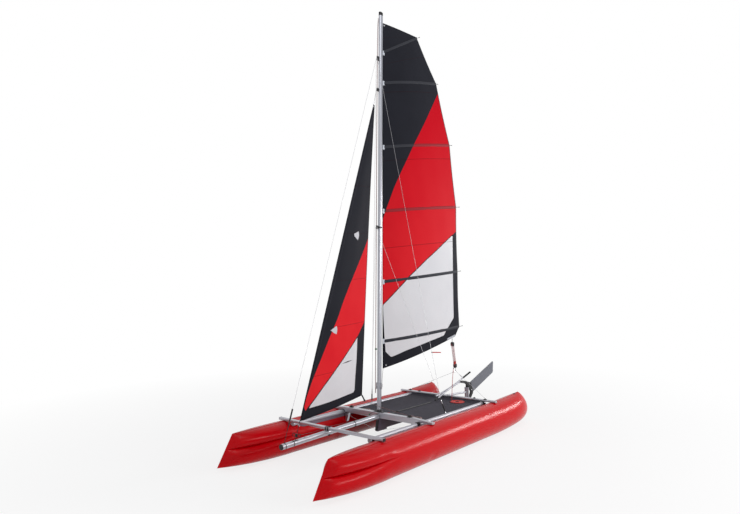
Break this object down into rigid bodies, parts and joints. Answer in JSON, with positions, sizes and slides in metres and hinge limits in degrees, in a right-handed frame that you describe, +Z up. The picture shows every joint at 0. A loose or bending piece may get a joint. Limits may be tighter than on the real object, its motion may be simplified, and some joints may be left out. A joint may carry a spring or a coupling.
{
  "type": "inflatable sailing catamaran",
  "caption": "Sloop-rigged sailing catamaran on two inflatable hulls, with an aluminium frame, trampoline, battened mainsail, furling jib, centreboard and kick-up rudder.",
  "frame": {"origin": "on the ground under the middle of the boat's length, midway between the hulls", "axes": "+Z up along the mast, -Y towards the bow, +X to port"},
  "size_m": [2.237, 5.4892, 6.5695],
  "materials": {
    "hull_fabric": "satin",
    "pad_fabric": "matte",
    "mesh": "matte",
    "sailcloth": "satin",
    "aluminium": "satin",
    "steel": "satin",
    "black_plastic": "matte",
    "blade": "satin",
    "rope": "matte"
  },
  "bodies": {
    "boat": {"hull_port": "hull_fabric", "hull_starboard": "hull_fabric", "hull_pad_port": "pad_fabric", "hull_pad_starboard": "pad_fabric", "side_tube_port": "aluminium", "side_tube_starboard": "aluminium", "front_beam": "aluminium", "main_beam": "aluminium", "rear_beam": "aluminium", "beam_bracket_port": "aluminium", "beam_bracket_starboard": "aluminium", "trampoline": "mesh", "hiking_strap": "mesh", "mast_foot": "black_plastic", "mast": "aluminium", "hounds_tang": "steel", "lower_shroud_tang": "steel", "jib_halyard_block": "steel", "upper_shroud_port": "steel", "upper_shroud_starboard": "steel", "lower_shroud_port": "steel", "lower_shroud_starboard": "steel", "shroud_adjuster_port": "black_plastic", "shroud_adjuster_starboard": "black_plastic", "forestay": "steel", "forestay_adjuster": "black_plastic", "bowsprit": "aluminium", "jib_halyard": "rope", "jib_cleat_port": "black_plastic", "jib_cleat_starboard": "black_plastic", "jib_sheet": "rope", "mainsheet_bridle": "rope", "mainsheet_coil": "rope", "mainsheet_tail": "rope", "jib_sheet_coil_port": "rope", "jib_sheet_coil_starboard": "rope", "rudder_arm": "aluminium", "rudder_stock": "aluminium", "centreboard_case": "aluminium"},
    "mainsail": {"mainsail": "sailcloth", "batten_1": "sailcloth", "batten_2": "sailcloth", "batten_3": "sailcloth", "batten_4": "sailcloth", "batten_5": "sailcloth", "batten_6": "sailcloth", "mainsheet_upper_block": "black_plastic", "mainsheet_lower_block": "black_plastic", "mainsheet_falls": "rope"},
    "jib": {"jib": "sailcloth", "furler_drum": "steel", "jib_swivel": "steel", "jib_clew_block": "black_plastic"},
    "centreboard": {"centreboard": "blade"},
    "rudder": {"rudder_head": "black_plastic", "tiller": "aluminium"},
    "blade": {"rudder_blade": "blade"},
    "extension": {"tiller_joint": "black_plastic", "tiller_extension": "aluminium", "extension_grip": "black_plastic"}
  },
  "joints": [
    {"name": "mainsail_swing", "type": "hinge", "parent": "boat", "child": "mainsail", "pos_m": [0, -0.59081, 0.55291], "axis": [0, 0.0379, 0.9993], "range_deg": [-19, 46], "deforming": ["mainsheet_bridle", "mainsheet_tail"]},
    {"name": "jib_swing", "type": "hinge", "parent": "boat", "child": "jib", "pos_m": [0, -2.16018, 0.66648], "axis": [0, 0.3291, 0.9443], "range_deg": [-25, 25], "deforming": ["jib_sheet"]},
    {"name": "rudder_steer", "type": "hinge", "parent": "boat", "child": "rudder", "pos_m": [0, 1.77842, 0.43998], "axis": [0, 0, 1], "range_deg": [-32, 32], "deforming": ["mainsheet_tail"]},
    {"name": "rudder_blade_kick", "type": "hinge", "parent": "rudder", "child": "blade", "pos_m": [0, 1.92342, 0.46198], "axis": [1, 0, 0], "range_deg": [-100, 0]},
    {"name": "tiller_extension_swing", "type": "hinge", "parent": "rudder", "child": "extension", "pos_m": [0, 0.82642, 0.51598], "axis": [0, 0, 1], "range_deg": [-40, 0]},
    {"name": "centreboard_pivot", "type": "hinge", "parent": "boat", "child": "centreboard", "pos_m": [0, -0.58358, 0.32998], "axis": [1, 0, 0], "range_deg": [-90, 0]}
  ]
}
